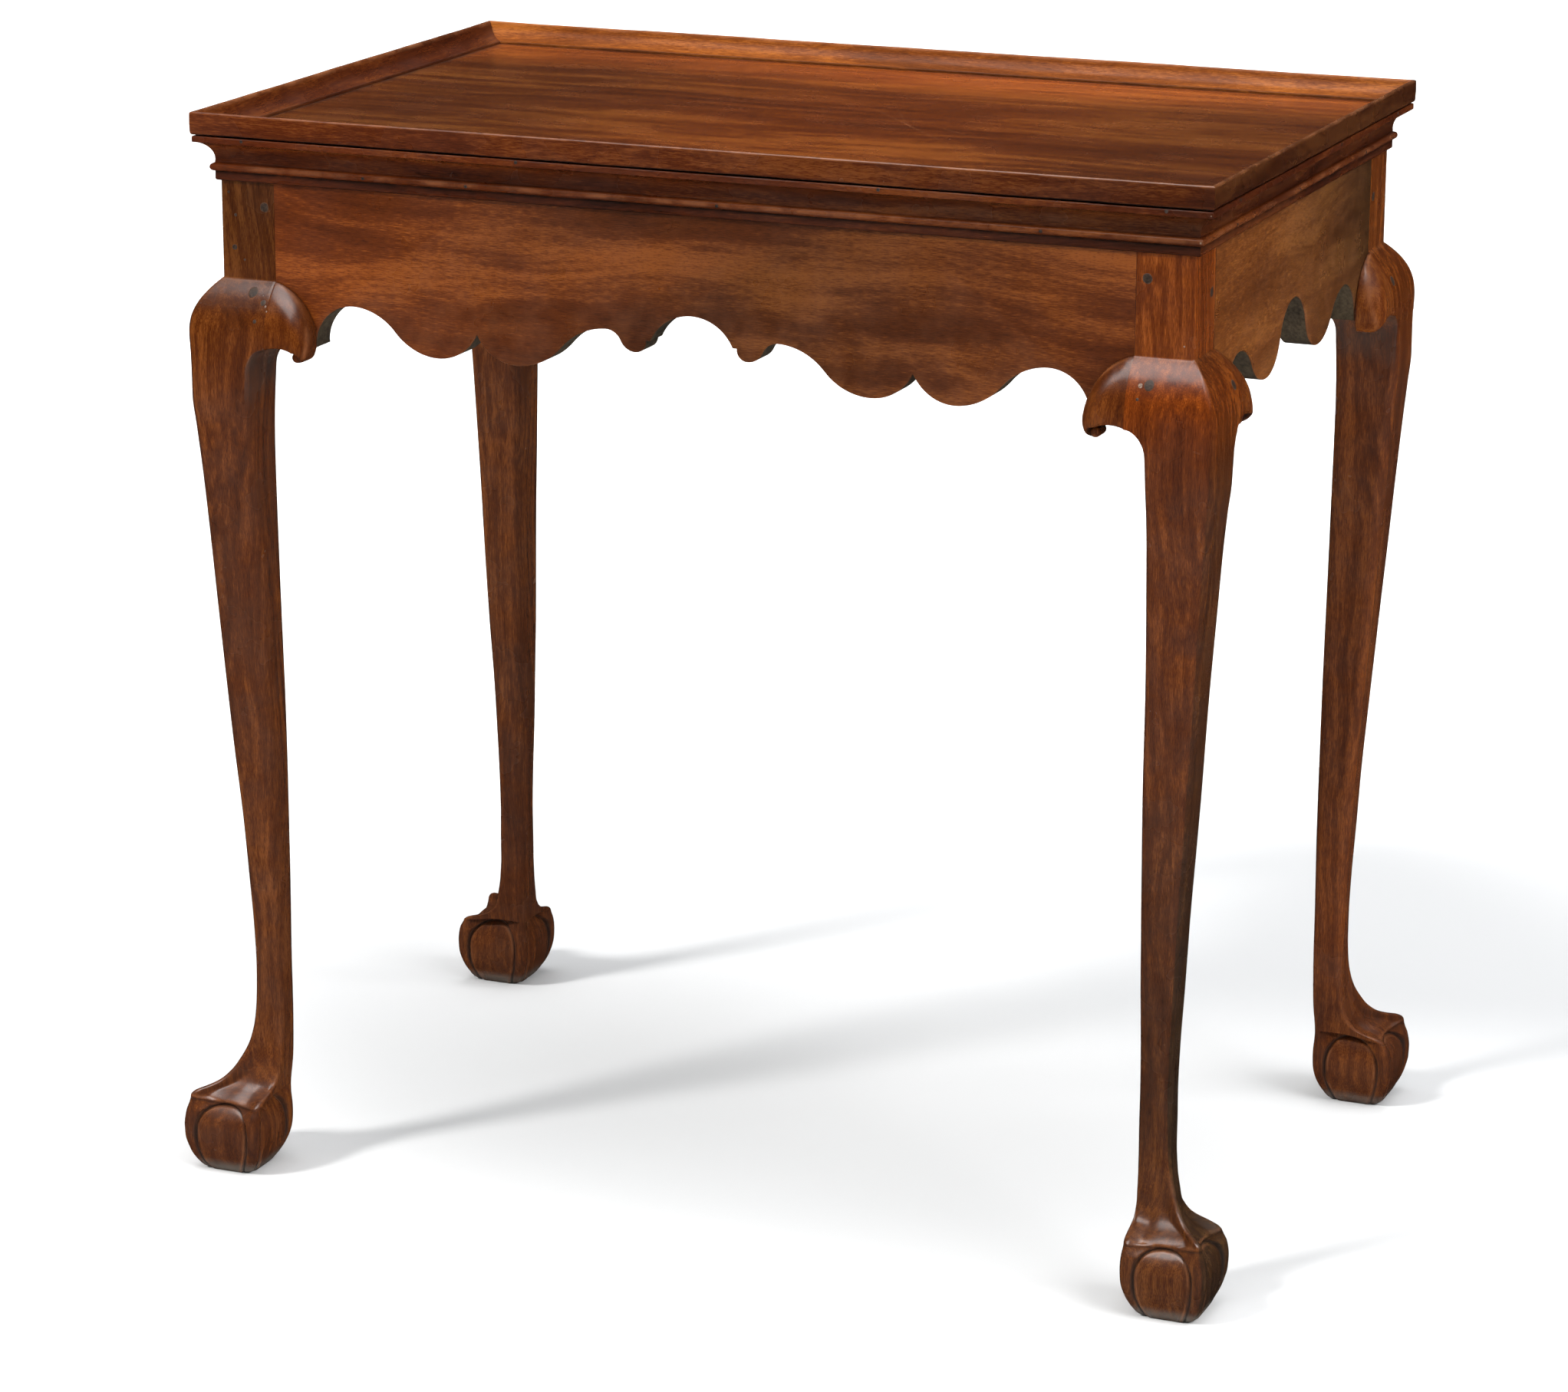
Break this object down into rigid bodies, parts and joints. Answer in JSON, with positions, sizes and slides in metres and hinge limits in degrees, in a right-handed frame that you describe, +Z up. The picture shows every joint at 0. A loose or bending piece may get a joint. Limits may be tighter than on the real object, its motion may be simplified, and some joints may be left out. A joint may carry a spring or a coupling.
{
  "type": "tea table",
  "caption": "Tray top tea table with a moulded rim, scroll-cut aprons, scrolled knee brackets and cabriole legs on ball and claw feet, in mahogany.",
  "frame": {"origin": "on the floor, under the middle of the tray", "axes": "+X along the table to the right as seen from the front, +Y from front to back, +Z up"},
  "size_m": [0.7052, 0.4692, 0.7],
  "materials": {
    "tray_board": "worn satin polish, dark red-brown mahogany",
    "tray_rim": "glossy polish, worn along the edge",
    "cove_moulding": "glossy polish",
    "apron": "satin polish, straight grain",
    "legs": "satin polish, darker in the carving",
    "knee_brackets": "satin polish",
    "pegs": "dull end grain",
    "nails": "dark, rusted heads",
    "glue_blocks": "bare, unpolished"
  },
  "bodies": {
    "root": {"tray_board": "tray_board", "tray_rim_front": "tray_rim", "cove_moulding_front": "cove_moulding", "apron_front": "apron", "pegs_front": "pegs", "moulding_nails_front": "nails", "glue_blocks_front": "glue_blocks", "tray_rim_back": "tray_rim", "cove_moulding_back": "cove_moulding", "apron_back": "apron", "pegs_back": "pegs", "moulding_nails_back": "nails", "glue_blocks_back": "glue_blocks", "tray_rim_left": "tray_rim", "cove_moulding_left": "cove_moulding", "apron_left": "apron", "pegs_left": "pegs", "moulding_nails_left": "nails", "glue_blocks_left": "glue_blocks", "tray_rim_right": "tray_rim", "cove_moulding_right": "cove_moulding", "apron_right": "apron", "pegs_right": "pegs", "moulding_nails_right": "nails", "glue_blocks_right": "glue_blocks", "knee_bracket_front_left": "knee_brackets", "knee_bracket_front_right": "knee_brackets", "knee_bracket_back_left": "knee_brackets", "knee_bracket_back_right": "knee_brackets", "knee_bracket_left_front": "knee_brackets", "knee_bracket_left_back": "knee_brackets", "knee_bracket_right_front": "knee_brackets", "knee_bracket_right_back": "knee_brackets", "leg_front_left": "legs", "leg_front_right": "legs", "leg_back_left": "legs", "leg_back_right": "legs"}
  },
  "joints": []
}
